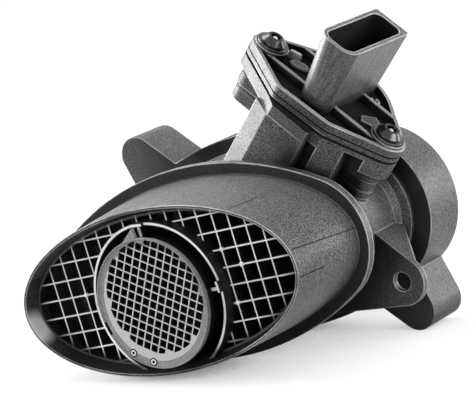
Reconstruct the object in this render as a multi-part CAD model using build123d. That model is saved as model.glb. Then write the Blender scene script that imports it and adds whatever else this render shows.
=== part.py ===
from build123d import *
from math import atan2, cos, degrees, hypot, pi, radians, sin, sqrt
import os

# Mass airflow sensor: an oval plastic duct with a plug-in hot-film sensor module.
# Millimetres. Y runs along the air flow, X along the oval's long side, Z is up.
# The origin is the centre of the rear flange's seat, on the duct's axis, so the mouth is at -Y.
# The sensor module is drawn upright in its own frame and then leaned over onto its tower.

# Duct: stations along the flow
MOUTH_Y = -97.0
GRID_Y = -91.5
DISC_Y = -100.6
COLLAR_Y = -96.6
FRONT_FLANGE_Y = -63.0
FRONT_FLANGE_THICK = 3.2
RAMP_Y = -70.0
ROOM_TURN_Y = -61.0
REAR_FLANGE_DEPTH = 20.0
SPIGOT_LENGTH = 32.0

# Duct: half widths of its oval sections
MOUTH_LONG = 61.8
MOUTH_SHORT = 30.2
MOUTH_DROP = 1.0
LIP_WALL = 1.0
SEAT_WALL = 3.1
FUNNEL_LONG = 65.9
FUNNEL_SHORT = 31.4
FRONT_LONG = 69.9
FRONT_SHORT = 36.0
FRONT_END_RADIUS = 24.0
BODY_LONG = 57.5
BODY_SHORT = 31.5
BODY_END_RADIUS = 22.0
FLARE_LONG = 62.5
FLARE_SHORT = 32.9
FLARE_END_RADIUS = 23.4
FLARE_DEPTH = 5.0
FLARE_FACE = 1.3
FLARE_CURVE = 0.35
REAR_LONG = 69.9
REAR_SHORT = 38.3
REAR_END_RADIUS = 28.6
WALL = 2.5
ROOM_STEP = 0.6
REAR_PLATE = 3.5
SKIRT_WALL = 2.8
SKIRT_RIB = 2.0
SKIRT_RIB_SETBACK = 2.0

# Outlet spigot
SPIGOT_RADIUS = 31.0
SPIGOT_WALL = 3.0
SPIGOT_STEP = 1.5
SPIGOT_LEAD = 1.2
NECK_DOWN = 14.5

# Thick fixing ears on the rear flange
EAR_X = 51.6
EAR_Z = 39.1
EAR_RADIUS = 7.6
EAR_ROOT_REACH = 30.0
EAR_ROOT_RADIUS = 15.4
EAR_LEAN = 119.9
EAR_BORE = 5.4
EAR_BORE_DEPTH = 15.0

# Thin side ear with its through hole and gusset
TAB_Y = -39.5
TAB_THICK = 2.4
TAB_X = 62.4
TAB_Z = -24.2
TAB_RADIUS = 9.0
TAB_HOLE = 7.0
TAB_ROOT_X = 56.98
TAB_ROOT_Z = -5.16
TAB_INNER_X = 8.0
TAB_INNER_Z = -29.6
TAB_ROOT_IN = 8.0

# Inlet grid and the collar round the measuring tube
GRID_PITCH = 6.5
GRID_COLUMNS = 16
GRID_ROWS = 8
GRID_ROW_SHIFT = -1.3
GRID_BAR = 0.65
GRID_DEPTH = 4.0
HOOP = 0.9
HOOP_CLEARANCE = 0.15
COLLAR_RADIUS = 27.9
COLLAR_WALL = 0.9
SPOKE_THICK = 1.2
SPOKE_SETBACK = 1.0
TAB_TURNS = (2.0, 87.0)
TAB_WIDE = 4.0
TAB_RISE = 1.6
TUBE_CLEARANCE = 0.1

# Measuring tube and the mesh disc on its nose
TUBE_Z = -4.1
TUBE_RADIUS = 22.9
TUBE_WALL = 1.7
TUBE_TAIL_Y = -26.5
DISC_RADIUS = 23.7
DISC_THICK = 1.4
DISC_LIP = 0.5
DISC_LIP_RAISE = 0.4
DISC_SKIRT = 2.5
DISC_SKIRT_WALL = 1.2
MESH_PITCH = 3.17
MESH_BAR = 0.52
MESH_RADIUS = 20.75
MESH_EDGE = 0.1
MESH_X = 1.8
MESH_Z = 2.2
MESH_TURN = -30.0
LUG_REACH = 27.4
LUG_START = 87.0
LUG_RAMP = 1.4
LUG_END = 102.0
NOTCH_TURN = 194.5
NOTCH_WIDE = 5.0
NOTCH_DEPTH = 1.1

# Sensor tower: its lean from upright and its place along the flow
LEAN = 49.0
TOWER_Y = -38.85
SCREW_SPREAD = 27.5
LOBE_RADIUS = 7.3
WAIST_RADIUS = 22.9
WAIST_SHIFT = 4.7
CORNER_RADIUS = 4.0
CORNER_LEFT = (-9.5, -14.8)
CORNER_RIGHT = (11.0, -13.6)
SEAM_DEPTH = 0.5
SEAM_TALL = 0.6
SEAM_END = 12.3
SEAT_U = 67.2
PAD_THICK = 5.0
PAD_THICK_RIGHT = 7.2
PAD_WINDOW = 2.2
PAD_WINDOW_END = 27.0
PAD_FRONT = 21.1
PAD_FACE = 8.2
STEM_HALF = 16.5
STEM_FRONT = 20.9
STEM_REAR = 24.0
STEM_CORNER = 8.8
STEM_FACET = 4.0
STEM_START = 24.0
STEM_SIDE_START = 12.3
STEM_SIDE = 20.5
STEM_NOTCH = 14.5
BOSS_RADIUS = 5.4
BOSS_NECK = 4.5
BOSS_STEP = 0.6
# Each boss: how far below the seat it ends, and its grooves as depth below the seat and height
BOSS_LEFT = (18.4, ((5.0, 2.4), (12.0, 1.7)))
BOSS_RIGHT = (21.8, ((10.0, 1.2), (14.4, 1.2), (17.7, 1.0)))

# Sensor module flange, connector and tongue
FLANGE_THICK = 5.6
FLANGE_FLOOR = 2.4
FLANGE_RIM = 1.5
FLANGE_RIB = 1.5
FLANGE_RIB_SPREAD = 10.0
RING_RADIUS = 6.5
RING_RAISE = 1.0
PLUG_HALF = 7.7
PLUG_FRONT = 16.9
PLUG_REAR = 22.9
PLUG_RISE = 31.6
PLUG_WALL = 1.6
PLUG_BASE_HALF = 5.9
PLUG_BASE_SHIFT = 1.0
PLUG_BASE_FRONT = 13.5
PLUG_BASE_REAR = 22.2
PLUG_DEPTH = 23.0
PLUG_FRONT_CORNER = 5.8
PLUG_REAR_CORNER = 0.9
PLUG_REAR_WALL = 2.0
PLUG_ROOM_CORNER = 3.4
NECK_HALF = 8.0
NECK_FRONT = 14.0
NECK_REAR = 16.0
NECK_LENGTH = 17.2
BORE_CLEARANCE = 0.6
TONGUE_HALF = 5.0
TONGUE_FRONT = 12.0
TONGUE_REAR = 10.0
TONGUE_TIP = -14.0
COVER_THICK = 1.5
COVER_MARGIN = 1.2
FIT = 0.1

# O-ring in the neck's groove
RING_SECTION = 1.2
RING_DOWN = 6.2
RING_SQUEEZE = 0.05
RING_SIDES = 6

# Electronics inside the tongue
ROOM_LOW = 13.0
ROOM_HIGH = 44.0
BASE_THICK = 1.0
BOARD_THICK = 1.0
CHANNEL_DEPTH = 4.5
CHANNEL_WIDE = 5.0
CHIP_THICK = 0.5
CHIP_WIDE = 2.6
CHIP_LONG = 9.0
INLET_WIDE = 5.0
INLET_TALL = 7.0
BEAD_RADIUS = 0.9
BEAD_LEAD = 0.35
BEAD_REACH = 4.0
BEAD_DROP = 3.0
BEAD_SPREAD = 2.2

# Connector terminals
TERMINALS = 5
TERMINAL_PITCH = 5.6
TERMINAL_WIDE = 1.5
TERMINAL_THICK = 0.63
TERMINAL_RISE = 14.0
TERMINAL_ROOT = 4.0

# Screws, washers, bushings and inserts
SHANK_RADIUS = 2.0
SHANK_LENGTH = 17.5
HEAD_RADIUS = 4.8
HEAD_TOP_RADIUS = 2.9
HEAD_EDGE = 0.7
HEAD_RISE = 2.6
SOCKET_RADIUS = 2.1
SOCKET_DEPTH = 1.6
WASHER_RADIUS = 5.9
WASHER_THICK = 0.8
BUSHING_RADIUS = 3.6
BUSHING_BORE = 2.4
INSERT_RADIUS = 3.3
INSERT_BORE = 2.05
INSERT_LENGTH = 9.0
PILOT_DEPTH = 16.5

# Values that follow from the sizes above
FRONT_FLANGE_REAR = FRONT_FLANGE_Y + FRONT_FLANGE_THICK
REAR_FLANGE_Y = -REAR_FLANGE_DEPTH
RIM_U = SEAT_U + FLANGE_THICK
RING_U_TOP = RIM_U + RING_RAISE
RING_U = SEAT_U - RING_DOWN
NECK_END = SEAT_U - NECK_LENGTH
PLUG_TOP = SEAT_U + PLUG_RISE
PLATE_REAR_Y = REAR_FLANGE_Y + REAR_PLATE
PLUG_FLOOR = PLUG_TOP - PLUG_DEPTH


def station(y, x=0.0, z=0.0):
    """Plane across the flow at y, with its local axes along X and Z."""
    return Plane(origin=(x, y, z), x_dir=(1, 0, 0), z_dir=(0, -1, 0))


def slab(shape, front, rear):
    """Prism of a sketch drawn in X and Z, between two stations of the flow."""
    return extrude(station(rear) * shape, rear - front)


def level(shape, low, high):
    """Prism of a sketch drawn in the tower's plan, between two heights of the tower."""
    return extrude(Plane.XY.offset(low) * shape, high - low)


def lean(shape):
    """Lean a solid of the sensor module over onto the tower."""
    side = (cos(radians(LEAN)), 0, -sin(radians(LEAN)))
    up = (sin(radians(LEAN)), 0, cos(radians(LEAN)))
    return Plane(origin=(0, TOWER_Y, 0), x_dir=side, z_dir=up).location * shape


def oval(half_long, half_short, end_radius):
    """Flat oval of two wide arcs and two end arcs, tangent where they meet."""
    centre = half_long - end_radius
    rise = half_short - end_radius
    drop = (centre ** 2 - rise ** 2) / (2 * rise)
    scale = (half_short + drop) / (half_short + drop - end_radius)
    x = centre * scale
    z = drop * (scale - 1)
    top = ThreePointArc((-x, z), (0, half_short), (x, z))
    right = ThreePointArc((x, z), (half_long, 0), (x, -z))
    bottom = ThreePointArc((x, -z), (0, -half_short), (-x, -z))
    left = ThreePointArc((-x, -z), (-half_long, 0), (-x, z))
    return make_face(top + right + bottom + left)


def tangent_pair(first, first_radius, second, second_radius):
    """Two discs and the strip between their outer tangents, as one flat shape."""
    dx = second[0] - first[0]
    dy = second[1] - first[1]
    reach = hypot(dx, dy)
    heading = atan2(dy, dx)
    spread = pi / 2 + atan2(second_radius - first_radius, sqrt(reach ** 2 - (second_radius - first_radius) ** 2))
    ends = []
    for side in (1, -1):
        turn = heading + side * spread
        ends.append((first[0] + first_radius * cos(turn), first[1] + first_radius * sin(turn)))
        ends.append((second[0] + second_radius * cos(turn), second[1] + second_radius * sin(turn)))
    strip = make_face(Polyline(ends[0], ends[1], ends[3], ends[2], close=True))
    return strip + Pos(*first) * Circle(first_radius) + Pos(*second) * Circle(second_radius)


def duct_outside():
    """Funnel, front flange, and the body with the flare that meets the rear flange."""
    mouth = station(MOUTH_Y, z=-MOUTH_DROP) * Ellipse(MOUTH_LONG, MOUTH_SHORT)
    funnel_end = station(FRONT_FLANGE_Y) * Ellipse(FUNNEL_LONG, FUNNEL_SHORT)
    funnel = loft([mouth, funnel_end], ruled=True)
    flange = slab(oval(FRONT_LONG, FRONT_SHORT, FRONT_END_RADIUS), FRONT_FLANGE_Y, FRONT_FLANGE_REAR)
    body = slab(oval(BODY_LONG, BODY_SHORT, BODY_END_RADIUS), FRONT_FLANGE_REAR, REAR_FLANGE_Y)
    return funnel + flange + body + flare()


def flare():
    """Concave flare at the body's rear end, in two cones and a narrow edge."""
    face = REAR_FLANGE_Y - FLARE_FACE
    turn = face - (FLARE_DEPTH - FLARE_FACE) * FLARE_CURVE
    sizes = ((BODY_LONG, FLARE_LONG), (BODY_SHORT, FLARE_SHORT), (BODY_END_RADIUS, FLARE_END_RADIUS))
    start = station(REAR_FLANGE_Y - FLARE_DEPTH) * oval(BODY_LONG, BODY_SHORT, BODY_END_RADIUS)
    middle = station(turn) * oval(*[low + (high - low) * FLARE_CURVE for low, high in sizes])
    rim = oval(FLARE_LONG, FLARE_SHORT, FLARE_END_RADIUS)
    return loft([start, middle], ruled=True) + loft([middle, station(face) * rim], ruled=True) \
        + slab(rim, face, REAR_FLANGE_Y)


def rear_flange():
    """Front plate, deep skirt, ears, spigot and the ribs between skirt and spigot."""
    outline = oval(REAR_LONG, REAR_SHORT, REAR_END_RADIUS)
    inset = oval(REAR_LONG - SKIRT_WALL, REAR_SHORT - SKIRT_WALL, REAR_END_RADIUS - SKIRT_WALL)
    block = slab(outline + thick_ear(1) + thick_ear(-1), REAR_FLANGE_Y, 0)
    block -= slab(inset, PLATE_REAR_Y, 1)
    ribs = Rectangle(SKIRT_RIB, 2 * (REAR_SHORT + SKIRT_WALL))
    ribs &= oval(REAR_LONG - SKIRT_WALL / 2, REAR_SHORT - SKIRT_WALL / 2, REAR_END_RADIUS - SKIRT_WALL / 2)
    block += slab(ribs, PLATE_REAR_Y - 1, -SKIRT_RIB_SETBACK)
    block += slab(Circle(SPIGOT_RADIUS + SPIGOT_STEP), PLATE_REAR_Y - 1, 0)
    spigot = slab(Circle(SPIGOT_RADIUS), -1, SPIGOT_LENGTH)
    return block + chamfer(spigot.edges().group_by(Axis.Y)[-1], SPIGOT_LEAD)


def thick_ear(side):
    """One thick ear: its round tip and wide root, as a flat shape; side is 1 or -1."""
    tip = (side * EAR_X, -side * EAR_Z)
    reach_x = EAR_ROOT_REACH * cos(radians(EAR_LEAN))
    reach_z = EAR_ROOT_REACH * sin(radians(EAR_LEAN))
    root = (tip[0] + side * reach_x, tip[1] + side * reach_z)
    return tangent_pair(tip, EAR_RADIUS, root, EAR_ROOT_RADIUS)


def thin_ear():
    """Flat side ear with its tapered gusset, which runs back to the rear flange."""
    spread = atan2(TAB_ROOT_Z - TAB_Z, TAB_ROOT_X - TAB_X)
    reach = hypot(TAB_ROOT_X - TAB_X, TAB_ROOT_Z - TAB_Z)
    touch = spread - atan2(sqrt(reach ** 2 - TAB_RADIUS ** 2), TAB_RADIUS)
    shoulder = (TAB_X + TAB_RADIUS * cos(touch), TAB_Z + TAB_RADIUS * sin(touch))
    foot = (TAB_X, TAB_Z - TAB_RADIUS)
    root = (TAB_ROOT_X, TAB_ROOT_Z)
    web = make_face(Polyline(root, shoulder, (TAB_X, TAB_Z), foot, (TAB_INNER_X, TAB_INNER_Z),
                             (TAB_INNER_X, TAB_ROOT_Z), close=True))
    ear = slab(web + Pos(TAB_X, TAB_Z) * Circle(TAB_RADIUS), TAB_Y, TAB_Y + TAB_THICK)
    heading = atan2(shoulder[1] - root[1], shoulder[0] - root[0])
    length = hypot(shoulder[0] - root[0], shoulder[1] - root[1])
    depth = REAR_FLANGE_Y - TAB_Y
    profile = make_face(Polyline((-TAB_ROOT_IN, 0), (length, 0), (length, TAB_THICK), (0, depth),
                                 (-TAB_ROOT_IN, depth), close=True))
    flank = Plane(origin=(root[0], TAB_Y, root[1]), x_dir=(cos(heading), 0, sin(heading)),
                  z_dir=(sin(heading), 0, -cos(heading)))
    gusset = extrude(flank * profile, TAB_THICK)
    if gusset.bounding_box().max.Y < TAB_Y + TAB_THICK:
        gusset = extrude(flank * mirror(profile, Plane.XZ), TAB_THICK)
    return ear + gusset


def flange_outline(inset=0.0):
    """Plan of the sensor flange: two lobes, a round rear waist and two front corners."""
    left = (-SCREW_SPREAD, 0.0)
    right = (SCREW_SPREAD, 0.0)
    lobe = LOBE_RADIUS - inset
    corner = CORNER_RADIUS - inset
    shape = tangent_pair(left, lobe, (0.0, WAIST_SHIFT), WAIST_RADIUS - inset)
    shape += tangent_pair(right, lobe, (0.0, WAIST_SHIFT), WAIST_RADIUS - inset)
    shape += tangent_pair(left, lobe, CORNER_LEFT, corner)
    shape += tangent_pair(CORNER_LEFT, corner, CORNER_RIGHT, corner)
    return shape + tangent_pair(right, lobe, CORNER_RIGHT, corner)


def pad_outline():
    """Plan of the tower's pad: the flange's outline and a flat nose in front of it."""
    nose = make_face(Polyline((-SCREW_SPREAD, -LOBE_RADIUS * 0.8), (-PAD_FACE, -PAD_FRONT),
                              (PAD_FACE, -PAD_FRONT), (PAD_FACE, 0), (-SCREW_SPREAD, 0), close=True))
    return flange_outline() + nose


def strip(low, high):
    """Part of the tower's plan between two places across the flow."""
    return Pos((low + high) / 2, 0) * Rectangle(high - low, 4 * SCREW_SPREAD)


def neck_outline(grow=0.0):
    """Plan of the module's neck and of the bore that it fits, a slot along the flow."""
    length = NECK_FRONT + NECK_REAR + 2 * grow
    middle = (NECK_REAR - NECK_FRONT) / 2
    return Pos(0, middle) * RectangleRounded(2 * (NECK_HALF + grow), length, NECK_HALF + grow - 0.01)


def stem_outline():
    """Plan of the tower's stem: faceted corners, and a right side flush with the flange."""
    plan = make_face(Polyline((-STEM_CORNER, -STEM_FRONT), (PAD_FACE, -STEM_FRONT), (PAD_FACE, -STEM_NOTCH),
                              (STEM_HALF, -STEM_NOTCH), (STEM_HALF, STEM_REAR - STEM_FACET),
                              (STEM_HALF - STEM_FACET, STEM_REAR), (STEM_FACET - STEM_HALF, STEM_REAR),
                              (-STEM_HALF, STEM_REAR - STEM_FACET), (-STEM_HALF, STEM_FACET - STEM_FRONT),
                              close=True))
    return plan + (flange_outline() & strip(STEM_SIDE_START, STEM_SIDE))


def boss(side, bottom, grooves):
    """One screw boss under the pad, with its web to the stem; the grooves run round both."""
    reach = SCREW_SPREAD - STEM_HALF + 1
    pad_low = SEAT_U - PAD_THICK
    shape = None
    for low, high, radius in boss_rings(bottom, grooves, pad_low):
        plan = Pos(side * SCREW_SPREAD, 0) * Circle(radius)
        plan += Pos(side * (SCREW_SPREAD - reach / 2), 0) * Rectangle(reach, 2 * radius)
        ring = level(plan, low, high)
        shape = ring if shape is None else shape + ring
    return shape


def boss_rings(bottom, grooves, pad_low):
    """Heights and radius of each ring and groove of a boss, from the pad down."""
    rings = []
    top = pad_low
    radius = BOSS_RADIUS
    for depth, tall in grooves:
        high = SEAT_U - depth
        if high < top:
            rings.append((high, top, radius))
            radius = BOSS_RADIUS - BOSS_STEP
        rings.append((high - tall, high, BOSS_NECK))
        top = high - tall
    rings.append((SEAT_U - bottom, top, radius))
    return rings


def tower():
    """Stem, pad and grooved screw bosses, upright in the tower's frame."""
    pad_low = SEAT_U - PAD_THICK
    shape = level(stem_outline(), STEM_START, pad_low) + level(pad_outline(), pad_low, SEAT_U)
    window = pad_outline() & strip(STEM_SIDE, PAD_WINDOW_END) & Pos(0, -SCREW_SPREAD) * Rectangle(
        4 * SCREW_SPREAD, 2 * (SCREW_SPREAD - BOSS_RADIUS))
    shape -= level(window, pad_low, SEAT_U - PAD_WINDOW)
    lobe = flange_outline() & strip(PAD_WINDOW_END, 2 * SCREW_SPREAD)
    shape += level(lobe, SEAT_U - PAD_THICK_RIGHT, pad_low)
    return shape + boss(-1, *BOSS_LEFT) + boss(1, *BOSS_RIGHT)


def duct_inside():
    """Air space: the lip's lead-in, the grid's seat, the cavity and the round outlet."""
    seat_long = MOUTH_LONG + (FUNNEL_LONG - MOUTH_LONG) * (GRID_Y - MOUTH_Y) / (FRONT_FLANGE_Y - MOUTH_Y) - SEAT_WALL
    seat_short = seat_long - (MOUTH_LONG - MOUTH_SHORT)
    lip = station(MOUTH_Y - 0.01, z=-MOUTH_DROP) * Ellipse(MOUTH_LONG - LIP_WALL, MOUTH_SHORT - LIP_WALL)
    seat = station(GRID_Y, z=-MOUTH_DROP) * Ellipse(seat_long, seat_short)
    lead_in = loft([lip, seat], ruled=True)
    pocket = slab(Pos(0, -MOUTH_DROP) * Ellipse(seat_long, seat_short), GRID_Y, GRID_Y + GRID_DEPTH)
    start = station(GRID_Y + GRID_DEPTH, z=-MOUTH_DROP) * Ellipse(seat_long - ROOM_STEP, seat_short - ROOM_STEP)
    wide = station(RAMP_Y) * Ellipse(FUNNEL_LONG - WALL - ROOM_STEP, FUNNEL_SHORT - WALL)
    front_room = loft([start, wide], ruled=True)
    narrow = WALL + ROOM_STEP
    inner = Ellipse(BODY_LONG - narrow, BODY_SHORT - narrow)
    ramp = loft([wide, station(ROOM_TURN_Y) * inner], ruled=True)
    turn_y = PLATE_REAR_Y - 1 - NECK_DOWN
    rear_room = slab(oval(BODY_LONG - WALL, BODY_SHORT - WALL, BODY_END_RADIUS - WALL), ROOM_TURN_Y, turn_y)
    round_rear = station(PLATE_REAR_Y - 1) * Circle(SPIGOT_RADIUS - SPIGOT_WALL)
    bell = loft([station(turn_y) * inner, round_rear], ruled=True)
    bore = slab(Circle(SPIGOT_RADIUS - SPIGOT_WALL), PLATE_REAR_Y - 1.5, SPIGOT_LENGTH + 1)
    return [lead_in, pocket, front_room, ramp, rear_room, bell, bore], (seat_long, seat_short)


def housing():
    """The one-piece duct moulding with flanges, ears, tower and spigot."""
    shape = duct_outside() + rear_flange() + thin_ear() + lean(tower())
    rooms, seat = duct_inside()
    for room in rooms:
        shape -= room
    shape -= lean(level(neck_outline(BORE_CLEARANCE), STEM_START - 2, SEAT_U + 1))
    for side in (-1, 1):
        spot = Pos(side * SCREW_SPREAD, 0)
        shape -= lean(level(spot * Circle(INSERT_RADIUS), SEAT_U - INSERT_LENGTH, SEAT_U + 1))
        shape -= lean(level(spot * Circle(SHANK_RADIUS + FIT), SEAT_U - PILOT_DEPTH, SEAT_U))
        ear = Pos(side * EAR_X, -side * EAR_Z)
        shape -= slab(ear * Circle(EAR_BORE / 2), -EAR_BORE_DEPTH, 1)
    shape -= slab(Pos(TAB_X, TAB_Z) * Circle(TAB_HOLE / 2), TAB_Y - 1, TAB_Y + TAB_THICK + 1)
    return shape


def inlet_grid(seat):
    """Square lattice in its hoop, with the collar and the spokes that hold the tube."""
    long_room = seat[0] - HOOP_CLEARANCE
    short_room = seat[1] - HOOP_CLEARANCE
    room = Pos(0, -MOUTH_DROP) * Ellipse(long_room, short_room)
    hoop = room - Pos(0, -MOUTH_DROP) * Ellipse(long_room - HOOP, short_room - HOOP)
    bars = hoop
    for column in range(GRID_COLUMNS):
        x = (column - (GRID_COLUMNS - 1) / 2) * GRID_PITCH
        bars += Pos(x, 0) * Rectangle(GRID_BAR, 2 * REAR_SHORT)
    for row in range(GRID_ROWS):
        z = (row - (GRID_ROWS - 1) / 2) * GRID_PITCH + GRID_ROW_SHIFT
        bars += Pos(0, z) * Rectangle(2 * REAR_LONG, GRID_BAR)
    collar_outer = Pos(0, TUBE_Z) * Circle(COLLAR_RADIUS + COLLAR_WALL / 2)
    collar_inner = Pos(0, TUBE_Z) * Circle(COLLAR_RADIUS - COLLAR_WALL / 2)
    bars = (bars - collar_outer) & room
    shape = slab(bars, GRID_Y, GRID_Y + GRID_DEPTH)
    collar = (collar_outer - collar_inner) & room
    shape += slab(collar, COLLAR_Y, GRID_Y + GRID_DEPTH)
    tube_room = Pos(0, TUBE_Z) * Circle(TUBE_RADIUS + TUBE_CLEARANCE)
    spokes = Pos(0, TUBE_Z) * Rectangle(2 * COLLAR_RADIUS, SPOKE_THICK)
    spokes += Pos(0, TUBE_Z + COLLAR_RADIUS / 2) * Rectangle(SPOKE_THICK, COLLAR_RADIUS)
    shape += slab((spokes - tube_room) & room, COLLAR_Y + SPOKE_SETBACK, GRID_Y + GRID_DEPTH)
    for turn in TAB_TURNS:
        tab = Pos(0, TUBE_Z) * Rot(0, 0, turn) * Pos(COLLAR_RADIUS, 0) * Rectangle(2 * COLLAR_WALL, TAB_WIDE)
        shape += slab(tab & collar, COLLAR_Y - TAB_RISE, COLLAR_Y + SPOKE_SETBACK)
    return shape


def flow_tube():
    """Measuring tube round the sensor's tongue, slotted where the tongue enters."""
    ring = Circle(TUBE_RADIUS) - Circle(TUBE_RADIUS - TUBE_WALL)
    shape = slab(Pos(0, TUBE_Z) * ring, DISC_Y + DISC_THICK, TUBE_TAIL_Y)
    slot_length = TONGUE_FRONT + TONGUE_REAR + 2 * BORE_CLEARANCE
    middle = (TONGUE_REAR - TONGUE_FRONT) / 2
    slot = Pos(0, middle) * Rectangle(2 * (TONGUE_HALF + BORE_CLEARANCE), slot_length)
    return shape - lean(level(slot, 0, SEAT_U))


def disc_plate():
    """Flat outline of the mesh disc: a round plate with a bayonet lug and a rim notch."""
    corners = [(reach * cos(radians(turn)), reach * sin(radians(turn))) for reach, turn in
               ((DISC_RADIUS, LUG_START), (LUG_REACH, LUG_START + LUG_RAMP), (DISC_RADIUS, LUG_END))]
    lug = make_face(Polyline((0, 0), *corners, close=True))
    notch = Rot(0, 0, NOTCH_TURN) * Pos(DISC_RADIUS, 0) * Rectangle(2 * NOTCH_DEPTH, NOTCH_WIDE)
    return Circle(DISC_RADIUS) + lug - notch


def mesh_disc():
    """Disc on the tube's nose: a flat ring with a lip, a fine square mesh and a skirt."""
    plate = disc_plate()
    holes = Sketch()
    count = int(MESH_RADIUS / MESH_PITCH) + 1
    side = MESH_PITCH - MESH_BAR
    for column in range(-count, count + 1):
        for row in range(-count, count + 1):
            if hypot(column, row) * MESH_PITCH < MESH_RADIUS - side * MESH_EDGE:
                holes += Pos(column * MESH_PITCH, row * MESH_PITCH) * Rectangle(side, side)
    holes = Pos(MESH_X, MESH_Z) * Rot(0, 0, MESH_TURN) * (holes & Circle(MESH_RADIUS))
    shape = slab(Pos(0, TUBE_Z) * (plate - holes), DISC_Y, DISC_Y + DISC_THICK)
    lip = (Circle(DISC_RADIUS) & plate) - Circle(DISC_RADIUS - DISC_LIP)
    shape += slab(Pos(0, TUBE_Z) * lip, DISC_Y - DISC_LIP_RAISE, DISC_Y)
    outer = TUBE_RADIUS - TUBE_WALL - TUBE_CLEARANCE
    skirt = Circle(outer) - Circle(outer - DISC_SKIRT_WALL)
    keep = Pos(MESH_X, MESH_Z) * Circle(MESH_RADIUS)
    shape += slab(Pos(0, TUBE_Z) * (skirt - keep), DISC_Y + DISC_THICK, DISC_Y + DISC_THICK + DISC_SKIRT)
    return shape


def plug_plan(high, wall=0.0, rear_wall=0.0, rear_corner=PLUG_REAR_CORNER):
    """Plan of the connector at a height of the tower, less its walls; it widens upwards."""
    share = (high - SEAT_U) / PLUG_RISE
    half = PLUG_BASE_HALF + (PLUG_HALF - PLUG_BASE_HALF) * share - wall
    front = PLUG_BASE_FRONT + (PLUG_FRONT - PLUG_BASE_FRONT) * share - wall
    rear = PLUG_BASE_REAR + (PLUG_REAR - PLUG_BASE_REAR) * share - rear_wall
    shape = Pos(PLUG_BASE_SHIFT * (1 - share), (rear - front) / 2) * Rectangle(2 * half, front + rear)
    shape = fillet(shape.vertices().group_by(Axis.Y)[0], PLUG_FRONT_CORNER - wall)
    shape = fillet(shape.vertices().group_by(Axis.Y)[-1], rear_corner)
    return Plane.XY.offset(high) * shape


def plug_room():
    """Space of the connector's socket, with a wall all round and a thicker one behind."""
    walls = (PLUG_WALL, PLUG_REAR_WALL, PLUG_ROOM_CORNER)
    return loft([plug_plan(PLUG_FLOOR, *walls), plug_plan(PLUG_TOP + 1, *walls)], ruled=True)


def terminal_spots():
    """Places of the terminals along the connector, in the tower's plan."""
    middle = (PLUG_REAR - PLUG_FRONT) / 2
    return [(0.0, middle + (n - (TERMINALS - 1) / 2) * TERMINAL_PITCH) for n in range(TERMINALS)]


def room_side():
    """Plane of the tongue's covers: local X along the flow, local Y up the tower."""
    return Plane(origin=(0, 0, 0), x_dir=(0, 1, 0), z_dir=(1, 0, 0))


def side_box(front, rear, low, high, near, far):
    """Box on the tongue's side, given along the flow, up the tower and outwards."""
    shape = Pos((front + rear) / 2, (low + high) / 2) * Rectangle(rear - front, high - low)
    return extrude(room_side().offset(near) * shape, far - near)


def bypass_path():
    """Bypass channel in the tongue: in at the front, up past the chip, out at the side."""
    front = -TONGUE_FRONT
    rear = TONGUE_REAR - 2.0
    low = TONGUE_TIP + 2.5
    high = ROOM_LOW - 2.0
    path = Pos((front + rear) / 2 - 1, low + CHANNEL_WIDE / 2) * Rectangle(rear - front + 2, CHANNEL_WIDE)
    path += Pos(rear - CHANNEL_WIDE / 2, (low + high) / 2) * Rectangle(CHANNEL_WIDE, high - low)
    path += Pos((rear + 0.0) / 2 - 1, high - CHANNEL_WIDE / 2) * Rectangle(rear + 2, CHANNEL_WIDE)
    return path


def sensor_housing():
    """Module moulding: flange tray with ribs, connector socket, neck and tongue."""
    shape = level(flange_outline(), SEAT_U, RIM_U)
    seam = (flange_outline() - flange_outline(SEAM_DEPTH)) & strip(-2 * SCREW_SPREAD, SEAM_END)
    shape -= level(seam, SEAT_U, SEAT_U + SEAM_TALL)
    pocket = flange_outline(FLANGE_RIM)
    for side in (-1, 1):
        pocket -= Pos(side * SCREW_SPREAD, 0) * Circle(RING_RADIUS)
    shape -= level(pocket, SEAT_U + FLANGE_FLOOR, RIM_U + 1)
    ribs = Pos(0, WAIST_SHIFT - FLANGE_RIB_SPREAD) * Rectangle(2 * SCREW_SPREAD, FLANGE_RIB)
    ribs += Pos(0, WAIST_SHIFT + FLANGE_RIB_SPREAD) * Rectangle(2 * SCREW_SPREAD, FLANGE_RIB)
    shape += level(ribs & flange_outline(FLANGE_RIM / 2), SEAT_U + 1, RIM_U)
    shape += loft([plug_plan(SEAT_U + 1), plug_plan(PLUG_TOP)], ruled=True)
    for side in (-1, 1):
        shape += level(Pos(side * SCREW_SPREAD, 0) * Circle(RING_RADIUS), SEAT_U, RING_U_TOP)
    shape += level(neck_outline(), NECK_END, SEAT_U)
    tongue = Pos(0, (TONGUE_REAR - TONGUE_FRONT) / 2) * Rectangle(2 * TONGUE_HALF, TONGUE_FRONT + TONGUE_REAR)
    shape += level(tongue, TONGUE_TIP, NECK_END)
    shape -= plug_room()
    for side in (-1, 1):
        shape -= level(Pos(side * SCREW_SPREAD, 0) * Circle(BUSHING_RADIUS), SEAT_U - 1, RING_U_TOP + 1)
    for spot in terminal_spots():
        slot = Pos(*spot) * Rectangle(TERMINAL_THICK, TERMINAL_WIDE)
        shape -= level(slot, PLUG_FLOOR - TERMINAL_ROOT, PLUG_FLOOR + 1)
    groove = level(neck_outline(1) - neck_outline(ring_inset()), RING_U - RING_SECTION, RING_U + RING_SECTION)
    shape -= groove
    face = TONGUE_HALF - COVER_THICK
    shape -= side_box(-TONGUE_FRONT + COVER_MARGIN, TONGUE_REAR - COVER_MARGIN, TONGUE_TIP + COVER_MARGIN,
                      ROOM_HIGH + COVER_MARGIN, face, TONGUE_HALF + 1)
    shape -= side_box(-TONGUE_FRONT + 2.5, TONGUE_REAR - 2.5, ROOM_LOW, ROOM_HIGH,
                      face - BASE_THICK - BOARD_THICK - 2.0, face)
    shape -= extrude(room_side().offset(face - CHANNEL_DEPTH) * bypass_path(), CHANNEL_DEPTH)
    shape -= chip_box(FIT)
    return shape


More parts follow.
